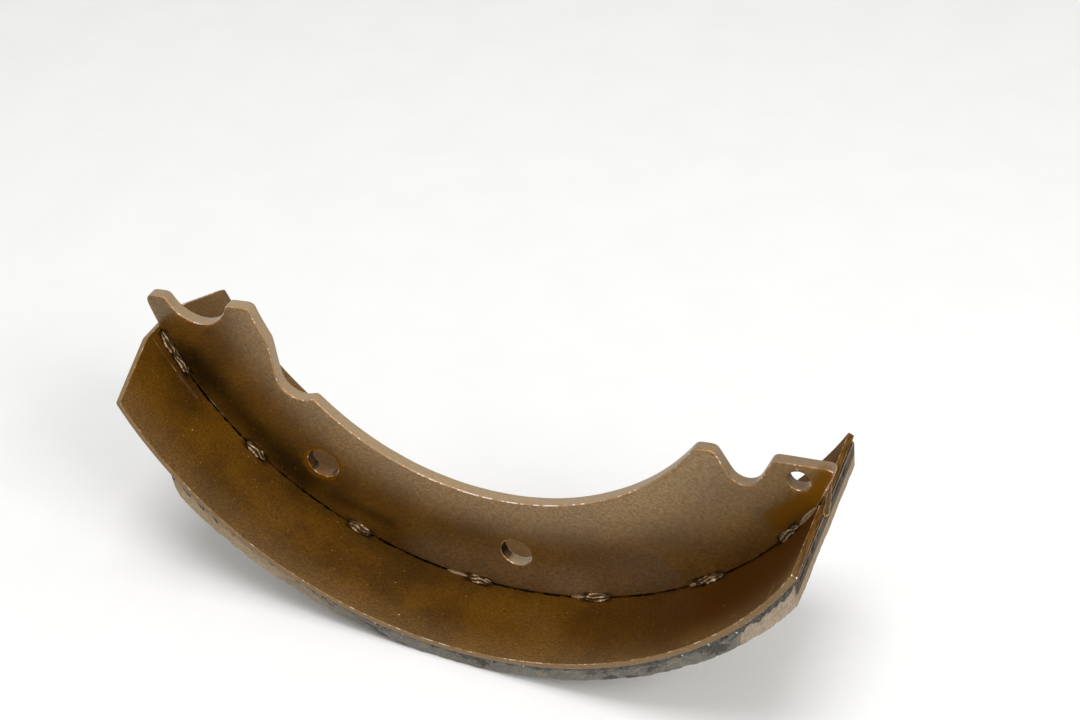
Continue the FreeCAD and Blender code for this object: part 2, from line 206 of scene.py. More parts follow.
def roundedPlate(rings, half, lowRound, highRound, wallRows, gap, seed):
    # A plate of any outline: a quarter round, the wall and a quarter round are carried along each ring, and
    # both faces are filled with triangles. Returns each point's place in the outline, its height, its distance
    # from the nearest arris and how much of a wall it is, and the faces.
    turn = np.linspace(0, math.pi / 2, 7)
    share = np.linspace(0, 1, wallRows + 2)[1:-1]
    opened, closed = 1 - np.sin(turn), 1 - np.cos(turn)
    fromArris = np.abs(turn - math.pi / 4)
    wallShare = np.concatenate([np.sin(turn) ** 2, np.ones(wallRows), np.sin(turn[::-1]) ** 2])
    flat, height, edge, wall, faces, lowRims, highRims, start = [], [], [], [], [], [], [], 0
    for ring, low, high in zip(rings, lowRound, highRound):
        run = np.roll(ring, -1, 0) - np.roll(ring, 1, 0)
        inward = np.stack([-run[:, 1], run[:, 0]], axis=1) / np.linalg.norm(run, axis=1)[:, None]
        low, high = (np.broadcast_to(r, len(ring))[:, None] for r in (low, high))
        inset = np.hstack([low * opened, np.zeros((len(ring), wallRows)), high * opened[::-1]])
        bottom, top = -half + low, half - high
        rise = np.hstack([-half + low * closed, bottom + (top - bottom) * share, half - high * closed[::-1]])
        columns = inset.shape[1]
        flat.append((ring[:, None] + inset[..., None] * inward[:, None]).reshape(-1, 2))
        height.append(rise.ravel())
        fromLow = low * math.pi / 4 + share * (top - bottom)
        fromHigh = high * math.pi / 4 + (1 - share) * (top - bottom)
        edge.append(np.hstack([low * fromArris, np.minimum(fromLow, fromHigh), high * fromArris[::-1]]).ravel())
        wall.append(np.tile(wallShare, len(ring)))
        faces += gridFaces(len(ring), columns, start, wrapRows=True)
        lowRims.append(start + np.arange(len(ring)) * columns)
        highRims.append(lowRims[-1] + columns - 1)
        start += len(ring) * columns
    flat, height, edge, wall = np.vstack(flat), np.concatenate(height), np.concatenate(edge), np.concatenate(wall)
    edges = [flat[rim] for rim in lowRims]
    rng = np.random.default_rng(seed)
    lowest, highest = rings[0].min(0), rings[0].max(0)
    inner = []
    # a jittered triangular grid, twice as fine beside the edges
    for step, nearest, furthest in ((gap * 0.5, 0.45 * gap, 2.2 * gap), (gap, 2.2 * gap, 1.0)):
        across, up = np.meshgrid(np.arange(lowest[0], highest[0], step),
                                 np.arange(lowest[1], highest[1], step * 0.866))
        across = across + 0.5 * step * (np.arange(len(across)) % 2)[:, None]
        spots = np.stack([across.ravel(), up.ravel()], axis=1)
        spots += rng.uniform(-0.12, 0.12, spots.shape) * step
        away = ringDistance(spots, edges)
        inner.append(spots[(away > nearest) & (away <= furthest) & insideRings(spots, edges)])
    inner = np.vstack(inner)
    rims = np.concatenate(lowRims)
    seeds = np.vstack([flat[rims], inner])
    bounds, first = [], 0
    for rim in lowRims:
        order = first + np.arange(len(rim))
        bounds += np.stack([order, np.roll(order, -1)], axis=1).tolist()
        first += len(rim)
    found, _, triangles, origin, _, _ = delaunay_2d_cdt([Vector(p) for p in seeds], bounds, [], 0, 1e-9)
    strays = [k for k, known in enumerate(origin) if not known]
    if strays:
        raise RuntimeError("the outline's inner edge crosses itself near %s" % [tuple(found[k]) for k in strays[:4]])
    source = np.array([known[0] for known in origin])
    triangles = source[np.array(triangles)]
    triangles = triangles[insideRings(seeds[triangles].mean(1), edges)]
    low = np.concatenate([rims, start + np.arange(len(inner))])
    high = np.concatenate([np.concatenate(highRims), start + len(inner) + np.arange(len(inner))])
    faces += low[triangles][:, ::-1].tolist() + high[triangles].tolist()
    away = ringDistance(inner, edges)
    flat = np.vstack([flat, inner, inner])
    height = np.concatenate([height, np.full(len(inner), -half), np.full(len(inner), half)])
    lowArc, highArc = (math.pi / 4 * float(np.mean(rounds[0])) for rounds in (lowRound, highRound))
    edge = np.concatenate([edge, away + lowArc, away + highArc])
    wall = np.concatenate([wall, np.zeros(2 * len(inner))])
    return flat, height, edge, wall, faces


# Node helpers, which add to the tree that newFinish sets
graph = {"tree": None}


def shade(red, green, blue):
    # an sRGB colour, 0 to 255, as the linear colour that sockets take
    light = [c / 255 / 12.92 if c <= 10 else ((c / 255 + 0.055) / 1.055) ** 2.4 for c in (red, green, blue)]
    return (*light, 1.0)


def addNode(kind, sockets=None, **settings):
    made = graph["tree"].nodes.new("ShaderNode" + kind)
    for key, value in settings.items():
        setattr(made, key, value)
    for key, value in (sockets or {}).items():
        socket = made.inputs[key]
        if isinstance(value, bpy.types.NodeSocket):
            graph["tree"].links.new(value, socket)
        else:
            socket.default_value = value
    return made


def blend(amount, first, second, mode="MIX"):
    # three numbers are an sRGB colour, four a linear one
    first, second = (shade(*c) if isinstance(c, tuple) and len(c) == 3 else c for c in (first, second))
    return addNode("Mix", {0: amount, 6: first, 7: second}, data_type="RGBA", blend_type=mode).outputs[2]


def mixed(amount, first, second):
    return addNode("Mix", {0: amount, 2: first, 3: second}).outputs[0]


def sums(operation, first, second=0.0, third=0.0):
    return addNode("Math", {0: first, 1: second, 2: third}, operation=operation).outputs[0]


def times(value, *factors):
    for factor in factors:
        value = sums("MULTIPLY", value, factor)
    return value


def plus(first, second):
    return sums("ADD", first, second)


def minus(first, second):
    return sums("SUBTRACT", first, second)


def scaled(value, factor, offset):
    return sums("MULTIPLY_ADD", value, factor, offset)


def weighted(*terms):
    # the sum of each value times its weight
    total = 0.0
    for value, weight in terms:
        total = scaled(value, weight, total)
    return total


def larger(first, second):
    return sums("MAXIMUM", first, second)


def hypotenuse(first, second):
    return sums("SQRT", scaled(first, first, times(second, second)))


def vectors(operation, first, second, output=0):
    return addNode("VectorMath", {0: first, 1: second}, operation=operation).outputs[output]


def stored(name, output="Fac"):
    return addNode("Attribute", attribute_name=name).outputs[output]


def span(value, low, high, toLow=0.0, toHigh=1.0):
    # smooth step from toLow at low to toHigh at high; low may be the larger of the two
    return addNode("MapRange", {"Value": value, "From Min": low, "From Max": high, "To Min": toLow, "To Max": toHigh},
                   interpolation_type="SMOOTHSTEP").outputs[0]


def cloud(place, scale, detail=3.0, rough=0.55, twist=0.0):
    return addNode("TexNoise", {"Vector": place, "Scale": scale, "Detail": detail, "Roughness": rough,
                                "Distortion": twist}).outputs["Fac"]


def stretched(place, *scale):
    return addNode("Mapping", {"Vector": place, "Scale": scale}).outputs[0]


def newFinish(name):
    finish = bpy.data.materials.new(name)
    finish.use_nodes = True
    finish.node_tree.nodes.clear()
    graph["tree"] = finish.node_tree
    return finish


def closeFinish(finish, colour, roughness, height=None, depth=0.0, strength=1.0, tint=None, **fixed):
    sockets = {"Base Color": colour, "Roughness": roughness}
    if height is not None:
        bump = addNode("Bump", {"Strength": strength, "Distance": depth, "Height": height})
        sockets["Normal"] = bump.outputs[0]
    if tint is not None:
        sockets["Specular Tint"] = tint
    sockets.update({key.replace("_", " "): value for key, value in fixed.items()})
    addNode("OutputMaterial", {0: addNode("BsdfPrincipled", sockets).outputs[0]})
    return finish


def nearLine(place, first, last, reach, soft, drift=0.0):
    # 1 within reach of the straight line from first to last, 0 past it; drift is added to the distance
    run = Vector(last) - Vector(first)
    offset = vectors("SUBTRACT", place, first)
    share = vectors("DOT_PRODUCT", offset, tuple(run / run.length_squared), "Value")
    share = addNode("Clamp", {"Value": share}).outputs[0]
    foot = addNode("VectorMath", {0: tuple(run), "Scale": share}, operation="SCALE").outputs[0]
    away = vectors("DISTANCE", offset, foot, "Value")
    return span(plus(away, drift), reach + soft, reach - soft)


def specks(place, scale, channel, rarest, low, high):
    # 1 on small round spots, one in each Voronoi cell whose random number is above rarest
    cells = addNode("TexVoronoi", {"Vector": place, "Scale": scale})
    chance = addNode("SeparateColor", {"Color": cells.outputs["Color"]}).outputs[channel]
    return times(span(cells.outputs["Distance"], high, low), span(chance, rarest, rarest + 0.03))


# Baked brown lacquer on the web and the rim
lacquer = {
    "lip": (104, 66, 14),
    "holeShadeColour": (20, 11, 2),
    "endCoat": (62, 38, 6),
    "speckColour": (178, 138, 84),
    "chipColour": (214, 184, 138),
    "jointShadeColour": (4, 2, 1),
    "tint": (255, 222, 176),
    "darkTint": (30, 24, 16),
    "unlitTint": (0.02, 0.015, 0.01, 1),
    "cloudScale": 55,
    "brokenScale": 420,
    "grainScale": 2300,
    "fineScale": 4200,
    "streakScale": 3000,
    "grainSpan": (0.34, 0.66),
    # where the painted sheen lies: up the web, and along the rim away from the web
    "paintedSheenRadius": (0.0790, 0.0650),
    "paintedSheenAside": (0.0150, 0.0256),
    "lipReach": (0.0013, 0.0004),
    "peelHeight": 0.00002,
    "toeAngles": (36.0, 50.0),      # degrees, where the walls darken towards the toe
    "crownStart": (-32.0, -14.0),   # the stretch where the painted glints lie close together
    "crownEnd": (24.0, 10.0),
    "seamReach": 0.0019,    # either side of the web's middle
    "seamDepth": 0.00022,   # in from the rim's bore
    "haloReach": 0.0015,    # ring of painted shade round each weld, from the corner
    "haloRadius": (0.0949, 0.0946),
}

# What differs between the coated pieces. Marks begin with the first and last point of a line. Pools, where the
# lacquer lies thicker, and on the rim's toe flank painted shade: reach, softness. Scratches, some of them painted
# glints: width, strength, colour. Tones, painted shade where darker and painted sheen where paler: reach,
# softness, colour, its share, and how far the sheen is held back.
webLook = {
    "dark": (60, 35, 0),
    "golden": (90, 58, 2),
    "index": 2.15,
    "roughness": 0.33,
    "wall": (150, 130, 104),
    "toeWall": (112, 96, 78),
    "wallShare": 0.6,
    "edge": (190, 124, 44),
    "edgeShare": 0.85,
    "edgeWidth": 0.00024,
    "glintShare": 1.0,
    "glint": (244, 246, 249),
    "paintedSheen": (158, 130, 96),
    "paintedSheenShare": 0.36,
    "lipShare": 0.6,
    "poolAndShade": (110, 69, 5),
    "poolAndShadeShare": 0.75,
    "poolAndShadeHold": 0.8,
    "poolAndShadeRoughness": 0.18,
    "sheen": 0.5,
    "dullAndShaded": None,
    "endFace": None,
    "poolsAndShade": (((-0.0450, -0.0016, 0.0328), (-0.0444, -0.0016, 0.0336), 0.0054, 0.0005),
              ((0.0866, -0.0016, 0.0712), (0.0832, -0.0016, 0.0630), 0.0018, 0.0014),
              ((0.0832, -0.0016, 0.0630), (0.0770, -0.0016, 0.0545), 0.0030, 0.0028)),
    # a painted glint along the seam near the heel
    "scratchesAndGlints": (((-0.07695, -0.0016, 0.04671), (-0.07233, -0.0016, 0.04059), 0.00020, 1.0, (226, 214, 190)),),
    "shadeAndSheen": (((-0.0795, -0.0016, 0.0578), (-0.0503, -0.0016, 0.0254), 0.0045, 0.0050, (22, 13, 1), 0.75, 0.80),
              ((-0.0423, -0.0016, 0.0225), (-0.0262, -0.0016, 0.0185), 0.0022, 0.0022, (44, 27, 2), 0.70, 0.50),
              ((-0.0140, -0.0016, 0.0105), (0.0250, -0.0016, 0.0125), 0.0065, 0.0055, (158, 130, 100), 0.20, 0.0),
              ((0.0250, -0.0016, 0.0125), (0.0480, -0.0016, 0.0250), 0.0055, 0.0055, (158, 130, 100), 0.18, 0.0)),
}
rimLook = {
    "dark": (56, 32, 0),
    "golden": (88, 56, 2),
    "index": 1.75,
    "roughness": 0.38,
    "wall": (136, 108, 72),
    "toeWall": (136, 108, 72),
    "wallShare": 0.65,
    "edge": (170, 132, 84),
    "edgeShare": 0.6,
    "edgeWidth": 0.0002,
    "glintShare": 0.85,
    "glint": (224, 212, 194),
    "paintedSheen": (132, 104, 68),
    "paintedSheenShare": 0.22,
    "lipShare": 0.0,
    "poolAndShade": (62, 33, 0),
    "poolAndShadeShare": 0.9,
    "poolAndShadeHold": 0.97,
    "poolAndShadeRoughness": 0.75,
    "sheen": 0.3,
    # far flank at the toe, made matt, with painted shade where its reflections are taken out: a line, its reach and
    # softness
    "dullAndShaded": ((0.0640, 0.0170, 0.0310), (0.0860, 0.0170, 0.0618), 0.0105, 0.0040),
    "endFace": (106, 71, 26),
    "poolsAndShade": (((0.0700, -0.0080, 0.0360), (0.0840, -0.0080, 0.0560), 0.0120, 0.0080),
              ((0.0815, -0.0014, 0.0533), (0.0819, -0.0012, 0.0537), 0.0008, 0.0003)),
    "scratchesAndGlints": (((-0.08755, -0.0054, 0.06577), (-0.08294, -0.0047, 0.05576), 0.00024, 0.85, (176, 136, 84)),
                  ((-0.08255, -0.0047, 0.05500), (-0.07820, -0.0044, 0.04785), 0.00080, 0.13, (150, 134, 114)),
                  ((0.08132, -0.0213, 0.05285), (0.08096, -0.0251, 0.05223), 0.00026, 1.0, (190, 134, 54)),
                  ((0.0690, -0.0190, 0.0365), (0.0750, -0.0235, 0.0430), 0.00014, 0.5, (168, 128, 76)),
                  # two painted glints at the toe corner
                  ((0.08587, -0.0252, 0.06177), (0.08605, -0.0254, 0.06169), 0.00030, 1.0, (250, 252, 255)),
                  ((0.08715, -0.0252, 0.06120), (0.08733, -0.0254, 0.06112), 0.00034, 1.0, (250, 252, 255))),
    "shadeAndSheen": (((-0.0520, -0.0020, 0.0217), (-0.0180, -0.0020, 0.0077), 0.0040, 0.0050, (46, 28, 1), 0.65, 0.35),
              ((0.0337, -0.0100, 0.0122), (0.0600, -0.0100, 0.0276), 0.0080, 0.0070, (62, 34, 0), 0.70, 0.55),
              ((0.0600, -0.0100, 0.0276), (0.0822, -0.0100, 0.0544), 0.0110, 0.0070, (62, 33, 0), 0.85, 0.90)),
}
unmarked = {"poolsAndShade": (), "scratchesAndGlints": (), "shadeAndSheen": (), "endFace": None}
# a shaded copy of the web's lacquer, with less sheen, for hole walls in painted shade
holeShadeLook = dict(webLook, sheen=0.10, **unmarked)
# the lacquer run's pale edge bands are painted highlights along its flanks
runLook = dict(rimLook, edge=(186, 160, 120), edgeShare=0.9, edgeWidth=0.00022, glintShare=0.2, **unmarked)


def weldSpans(angle, spans):
    # 1 over each weld's stretch of angle, in degrees, with soft ends
    reach, (outside, inside) = welds["rampReach"], welds["softEnd"]
    share = addNode("MapRange", {"Value": angle, "From Min": -reach, "From Max": reach}).outputs[0]
    ramp = addNode("ValToRGB", {"Fac": share})
    stops = ramp.color_ramp.elements
    stops[0].position, stops[1].position = 0.0, 1.0
    stops[0].color = stops[1].color = (0, 0, 0, 1)
    joined = []
    for first, last in (ends for *ends, size in spans if size >= welds["smallSize"]):
        if joined and first < joined[-1][1] + welds["joinGap"]:
            joined[-1][1] = last
        else:
            joined.append([first, last])
    for first, last in joined:
        for place, level in ((first - outside, 0), (first + inside, 1), (last - inside, 1), (last + outside, 0)):
            stops.new((place + reach) / (2 * reach)).color = (level, level, level, 1)
    return ramp.outputs["Color"]


def lacquerFinish(name, look):
    finish = newFinish(name)
    place = addNode("TexCoord").outputs["Object"]
    edge, wall, bore = (stored(key) for key in ("edgeDistance", "wall", "bore"))
    offset = vectors("SUBTRACT", place, (0, 0, shoe["axisHeight"]))
    x, y, z = addNode("SeparateXYZ", {"Vector": offset}).outputs
    radius, aside = hypotenuse(x, z), sums("ABSOLUTE", y)
    angle = scaled(sums("ARCTAN2", x, times(z, -1.0)), 180 / math.pi, -shoe["restRoll"])
    # colour: broad golden and dark clouds, then a fine fibrous grain over both
    broad, broken = cloud(place, lacquer["cloudScale"], 4), cloud(place, lacquer["brokenScale"], 3)
    grain, fine = (cloud(place, lacquer[key], 2, 0.5) for key in ("grainScale", "fineScale"))
    streaks = cloud(stretched(place, 0.30, 1.0, 0.5), lacquer["streakScale"], 2, 0.5)
    mottle = weighted((grain, 0.35), (streaks, 0.35), (fine, 0.30))
    low, high = lacquer["grainSpan"]
    colour = blend(span(broad, 0.30, 0.70), look["dark"], look["golden"])
    # painted sheen: paler up the web and out along the rim's sides
    paintedSheenAmount = larger(span(radius, *lacquer["paintedSheenRadius"]), span(aside, *lacquer["paintedSheenAside"]))
    colour = blend(times(paintedSheenAmount, look["paintedSheenShare"]), colour, look["paintedSheen"])
    # painted shade, and painted sheen where paler, from place to place, each round a line that wanders with the clouds
    shadowed, drift = 0.0, scaled(broad, 0.006, -0.003)
    for first, last, reach, soft, tone, share, shadow in look["shadeAndSheen"]:
        here = nearLine(place, first, last, reach, soft, drift)
        colour = blend(times(here, share), colour, tone)
        shadowed = larger(times(here, shadow), shadowed)
    lip = times(span(edge, *lacquer["lipReach"]), span(broken, 0.42, 0.54), look["lipShare"])
    colour = blend(lip, colour, lacquer["lip"])
    colour = blend(1.0, colour, span(mottle, low, high, 0.68, 1.42), "MULTIPLY")
    # the walls take a paler colour: painted sheen, giving way to a darker tone towards the toe
    paintedWallSheen = blend(span(angle, *lacquer["toeAngles"]), look["wall"], look["toeWall"])
    colour = blend(times(wall, look["wallShare"]), colour, paintedWallSheen)
    colour = blend(1.0, colour, span(mottle, low, high, 0.92, 1.08), "MULTIPLY")
    speck = times(specks(place, 1000.0, 0, 0.90, 0.10, 0.22), 0.55)
    colour = blend(speck, colour, lacquer["speckColour"])
    chip = specks(place, 330.0, 1, 0.95, 0.045, 0.075)
    colour = blend(chip, colour, lacquer["chipColour"])
    tint = blend(span(mottle, low, high, 0.68, 1.0), lacquer["darkTint"], lacquer["tint"])
    tint = blend(shadowed, tint, lacquer["darkTint"])
    roughness = span(mottle, 0.36, 0.64, look["roughness"] + 0.02, look["roughness"] - 0.02)
    # places where the lacquer pooled, and on the rim's toe flank painted shade with the sheen held back; a small one
    # has a calmer border
    poolShadeMask, ragged = 0.0, scaled(cloud(place, 420, 4, 0.65), 0.0036, -0.0018)
    for first, last, reach, soft in look["poolsAndShade"]:
        drift = times(ragged, min(1.0, reach / 0.003))
        poolShadeMask = larger(nearLine(place, first, last, reach, soft, drift), poolShadeMask)
    colour = blend(times(poolShadeMask, look["poolAndShadeShare"]), colour, look["poolAndShade"])
    roughness = mixed(poolShadeMask, roughness, look["poolAndShadeRoughness"])
    tint = blend(times(poolShadeMask, look["poolAndShadeHold"]), tint, lacquer["darkTint"])
    # painted shade on the hole walls, on the side away from the light, with their reflections taken out
    boreShade = times(bore, span(broken, 0.46, 0.60, 0.92, 0.55))
    colour = blend(boreShade, colour, lacquer["holeShadeColour"])
    tint = blend(boreShade, tint, lacquer["unlitTint"])
    roughness = mixed(boreShade, roughness, 0.9)
    atEnd = 0.0
    if look["endFace"]:
        atEnd = stored("endFace")
        streaky = cloud(stretched(place, 1.0, 0.12, 1.0), 1900, 2)
        coat = blend(span(streaky, 0.36, 0.64), lacquer["endCoat"], look["endFace"])
        colour = blend(times(atEnd, 0.9), colour, coat)
    # rubbed arrises, with painted glints on them that lie close together along the crown; on the lacquer run these
    # bands are painted highlights along its flanks
    worn = plus(edge, scaled(broken, 0.00030, -0.00015))
    rubbed = times(span(worn, look["edgeWidth"], 0.0), span(broken, 0.44, 0.56, 0.12, 1.0))
    colour = blend(times(rubbed, look["edgeShare"]), colour, look["edge"])
    crown = times(*(span(angle, *lacquer[key]) for key in ("crownStart", "crownEnd")))
    bright = scaled(crown, 0.10, cloud(place, 800, 2))
    glint = times(rubbed, span(bright, 0.55, 0.62, 0.0, look["glintShare"]), minus(1.0, atEnd))
    colour = blend(glint, colour, look["glint"])
    roughness = mixed(times(rubbed, 0.7), roughness, 0.18)
    # scratches, and the painted glints listed among them
    for first, last, width, strength, tone in look["scratchesAndGlints"]:
        line = nearLine(place, first, last, width / 2, width / 2)
        line = times(line, span(broken, 0.35, 0.55, 0.3, 1.0), strength)
        colour = blend(line, colour, tone)
    # painted shade: a dark ring round each weld and a black line between web and rim, their reflections taken out
    near, far = (weldSpans(angle, welds[key]) for key in ("near", "far"))
    atWeld = blend(sums("GREATER_THAN", y, 0.0), near, far)
    corner = hypotenuse(minus(shoe["rimInner"], radius), minus(aside, shoe["webHalf"]))
    wander = scaled(cloud(place, 800, 3), 0.0011, -0.00055)
    reach = lacquer["haloReach"]
    halo = span(plus(corner, wander), reach - 0.0002, reach + 0.0006, 0.85, 0.0)
    halo = times(halo, atWeld, span(radius, *lacquer["haloRadius"]))
    reach, low = lacquer["seamReach"], shoe["rimInner"] - lacquer["seamDepth"]
    beside = span(plus(aside, wander), reach + 0.0001, reach - 0.0001)
    foot = span(minus(radius, wander), low - 0.0001, low + 0.0001)
    within = span(radius, shoe["rimInner"] + 0.0004, shoe["rimInner"] + 0.0002)
    dashes = span(cloud(place, 330, 3, 0.6), 0.40, 0.50, 0.50, 1.0)
    jointShade = larger(times(beside, foot, within, dashes), halo)
    jointShade = times(jointShade, span(angle, shoe["rimHeel"] + 0.5, shoe["rimHeel"] + 0.9))
    colour = blend(jointShade, colour, lacquer["jointShadeColour"])
    tint = blend(jointShade, tint, (0, 0, 0, 1))
    roughness = mixed(jointShade, roughness, 0.7)
    # the far flank at the toe: matt, with painted shade where its reflections are taken out
    if look["dullAndShaded"]:
        dullAndShaded = nearLine(place, *look["dullAndShaded"])
        roughness = mixed(dullAndShaded, roughness, 1.0)
        tint = blend(dullAndShaded, tint, lacquer["unlitTint"])
    peel = scaled(cloud(place, 650, 2), 0.6, mottle)
    return closeFinish(finish, colour, roughness, peel, lacquer["peelHeight"], tint=tint, IOR=look["index"],
                       Specular_IOR_Level=look["sheen"])


# Web plate: the CAD outline with its edges rolled over by the blanking and softened by the lacquer
web = {
    "ringStep": 0.00045,
    "nearRound": 0.00045,
    "farRound": 0.00035,
    "cornerPasses": 6,      # how far the outline's corners are rounded off; the holes keep one pass
    "roundWobble": 0.12,
    "faceGap": 0.0016,
    "holeRound": 0.00022,
    "cadEdgeBreak": 0.0003,
    # painted shade on the hole walls: the way from shade to light across a hole, and how deep the painted shade is
    "lightWay": (0.55, -0.83),
    "holeShade": 1.0,
    "toeHoleShade": 0.35,
    "toeHoleBeyond": 0.06,
    "shadedFrom": 0.35,     # mean painted shade at which a wall face takes the second material, a shaded copy of the lacquer
}


def cadRings(node, level):
    # the closed rings of CAD edges that lie at one level along Y, each as x, z points in order
    shell = bmesh.new()
    shell.from_mesh(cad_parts[node].data)
    bmesh.ops.remove_doubles(shell, verts=shell.verts, dist=2e-6)
    beside = {}
    for edge in shell.edges:
        a, b = edge.verts
        if abs(a.co.y - level) < 1e-5 and abs(b.co.y - level) < 1e-5:
            beside.setdefault(a, []).append(b)
            beside.setdefault(b, []).append(a)
    rings = []
    while beside:
        here, following = beside.popitem()
        ring = [here]
        while following:
            here = following[0]
            ring.append(here)
            following = [v for v in beside.pop(here) if v in beside]
        rings.append(np.array([(v.co.x, v.co.z) for v in ring]))
    shell.free()
    return sorted(rings, key=lambda ring: -np.ptp(ring[:, 0]))


def makeWeb():
    rings = cadRings("web", -shoe["webHalf"] + web["cadEdgeBreak"])
    print("web rings:", [len(ring) for ring in rings])
    rings = [softenRing(evenRing(turned(ring, k == 0), web["ringStep"]), 1 if k else web["cornerPasses"])
             for k, ring in enumerate(rings)]
    near, far = [], []
    for k, ring in enumerate(rings):
        for rounds, seed, wanted in ((near, 3, "nearRound"), (far, 4, "farRound")):
            uneven = 1 + web["roundWobble"] * wobble(ring, seed, 0.03, 0.003)
            rounds.append(roundRoom(ring, web["holeRound" if k else wanted] * uneven))
    flat, height, edge, wall, faces = roundedPlate(rings, shoe["webHalf"], near, far, 4, web["faceGap"], 5)
    points = np.stack([flat[:, 0], height, flat[:, 1]], axis=1)
    # painted shade on each hole's wall, on the side away from the light; the paler wall colour gives way to it
    bore = np.zeros(len(wall))
    for ring in rings[1:]:
        way = flat - ring.mean(0)
        lit = way @ web["lightWay"] / np.linalg.norm(way, axis=1)
        darkest = web["toeHoleShade" if ring.mean(0)[0] > web["toeHoleBeyond"] else "holeShade"]
        bore += darkest * smoothStep(-lit, -0.75, 0.10) * (ringDistance(flat, [ring]) < 0.0005)
    bore = bore * smoothStep(wall, 0.5, 1.0)
    values = {"edgeDistance": edge, "wall": wall - np.minimum(wall, bore), "bore": bore}
    finishes = [lacquerFinish("web_lacquer", webLook), lacquerFinish("hole_shade_lacquer", holeShadeLook)]
    piece = meshPiece("web_plate", points, faces, values, "brown_lacquer", finishes, "web")
    # faces deep in the painted shade take the second material, a shaded copy of the lacquer with less sheen
    shaded = [int(len(face) == 4 and bore[list(face)].mean() > web["shadedFrom"]) for face in faces]
    piece.data.polygons.foreach_set("material_index", shaded)


# Rim: a rolled strip, its heel end tapered by two slanted corners
rim = {
    "ringStep": 0.0005,
    "edgeRound": 0.00024,
    "roundWobble": 0.12,
    "flatHalf": 0.007,
    "cornerRun": 0.0068,
    "faceGap": 0.0022,
}


def makeRim():
    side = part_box("rim")[1].y
    middle = (shoe["rimInner"] + shoe["rimOuter"]) / 2
    half = (shoe["rimOuter"] - shoe["rimInner"]) / 2
    heel, toe = (math.radians(shoe[end]) * middle for end in ("rimHeel", "rimToe"))
    slant, flatHalf = heel + rim["cornerRun"], rim["flatHalf"]
    corners = np.array([(heel, -flatHalf), (slant, -side), (toe, -side), (toe, side), (slant, side), (heel, flatHalf)])
    ring = turned(softenRing(evenRing(corners, rim["ringStep"]), 1), True)
    soft = rim["edgeRound"] * (1 + rim["roundWobble"] * wobble(ring, 7, 0.05, 0.004))
    flat, height, edge, wall, faces = roundedPlate([ring], half, [soft], [soft], 3, rim["faceGap"], 8)
    points = onShoe(middle + height, flat[:, 0] / middle, flat[:, 1])
    endFace = wall * smoothStep(flat[:, 0], toe - 0.0006, toe - 0.0003)
    meshPiece("rim_strip", points, faces, {"edgeDistance": edge, "wall": wall, "endFace": endFace},
              "brown_lacquer", [lacquerFinish("rim_lacquer", rimLook)], "rim")


# Friction lining: moulded block with upright ends, a rounded heel edge and slightly ragged outer edges
lining = {
    "ringStep": 0.0005,
    "heelReach": 0.0809,    # upright ends, either side of the axis
    "toeReach": 0.0827,
    "toeSkew": 0.0011,      # the toe end reaches further on its far side, where its corner is knocked off
    "toeCorner": ((0.94, 0.0026), (0.70, 0.0009)),     # share of the skew and distance from the far side
    "toeCut": 0.0016,
    "innerRound": 0.0003,
    "outerRound": 0.0005,
    "heelRound": 0.0018,
    "raggedness": 0.00024,
    "skinHeight": 0.00005,
    "faceGap": 0.0024,
    "heelColour": (158, 138, 110),
    "middleColour": (117, 113, 105),
    "toeColour": (166, 149, 129),
    "endColour": (82, 70, 54),
    # glue blobs on the toe's end face, at the rim's side of it: place across and reach, in mm
    "blobs": ((13.8, 0.95), (9.6, 0.60), (3.4, 0.45), (-1.7, 0.75),
              (-8.6, 0.50), (-12.8, 0.85), (-17.4, 0.55), (-22.4, 0.70)),
    "blobRise": -0.0017,
    "endBand": (148, 130, 106),
    "faceColour": (142, 130, 113),
    "scoreColour": (122, 112, 98),
    "pitColour": (44, 37, 30),
    "fleckColour": (226, 222, 214),
    "glue": (26, 22, 19),
    "smear": (46, 43, 40),
    "toeZone": 0.1712,      # metres from the heel end, where the side turns paler
    "heelZone": 0.045,
}


def makeLining():
    # the unrolled block's outline, bent onto the drum; its sides are slightly hollow in places
    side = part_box("friction_lining")[1].y
    inner, outer = shoe["liningInner"], shoe["liningOuter"]
    middle, half = (inner + outer) / 2, (outer - inner) / 2
    length = middle * (math.asin(lining["heelReach"] / middle) + math.asin(lining["toeReach"] / middle))
    skew = lining["toeSkew"]
    broken = [(length + share * skew, side - inset) for share, inset in lining["toeCorner"]]
    corners = np.array([(0, -side), (length, -side), *broken, (length - lining["toeCut"], side), (0, side)])
    ring = turned(softenRing(evenRing(corners, lining["ringStep"]), 2), True)
    innerEdge = lining["innerRound"] + 0.00005 * wobble(ring, 12, 0.01, 0.002)
    atHeel = smoothStep(-ring[:, 0], -0.002, -0.0006)
    outerEdge = lining["outerRound"] + lining["raggedness"] * np.clip(wobble(ring, 11, 0.016, 0.0012), -1.2, 2.6)
    outerEdge = outerEdge + (lining["heelRound"] - outerEdge) * atHeel
    flat, height, edge, wall, faces = roundedPlate([ring], half, [innerEdge], [outerEdge], 9, lining["faceGap"], 13)
    radius = middle + height
    points = onShoe(radius, evenAngle(radius, flat[:, 0] / length, lining), flat[:, 1])
    places = np.stack([flat[:, 0] * 0.4, flat[:, 1], height * 2.5], axis=1)
    skin = lining["skinHeight"] * np.clip(wobble(places, 14, 0.012, 0.0015, 60), -2, 1.2)
    onSide = smoothStep(np.abs(flat[:, 1]), side - 0.0015, side - 0.0002)
    points[:, 1] += np.sign(flat[:, 1]) * np.minimum(skin, 0.0) * onSide
    strip = np.stack([flat[:, 0], flat[:, 1], height], axis=1)
    endLine = length + skew * (flat[:, 1] + side) / (2 * side)
    endFace = wall * smoothStep(flat[:, 0], endLine - 0.0018, endLine - 0.0006)
    meshPiece("lining_block", points, faces, {"edgeDistance": edge, "strip": strip, "endFace": endFace},
              "friction_compound", [liningFinish()], "friction_lining")


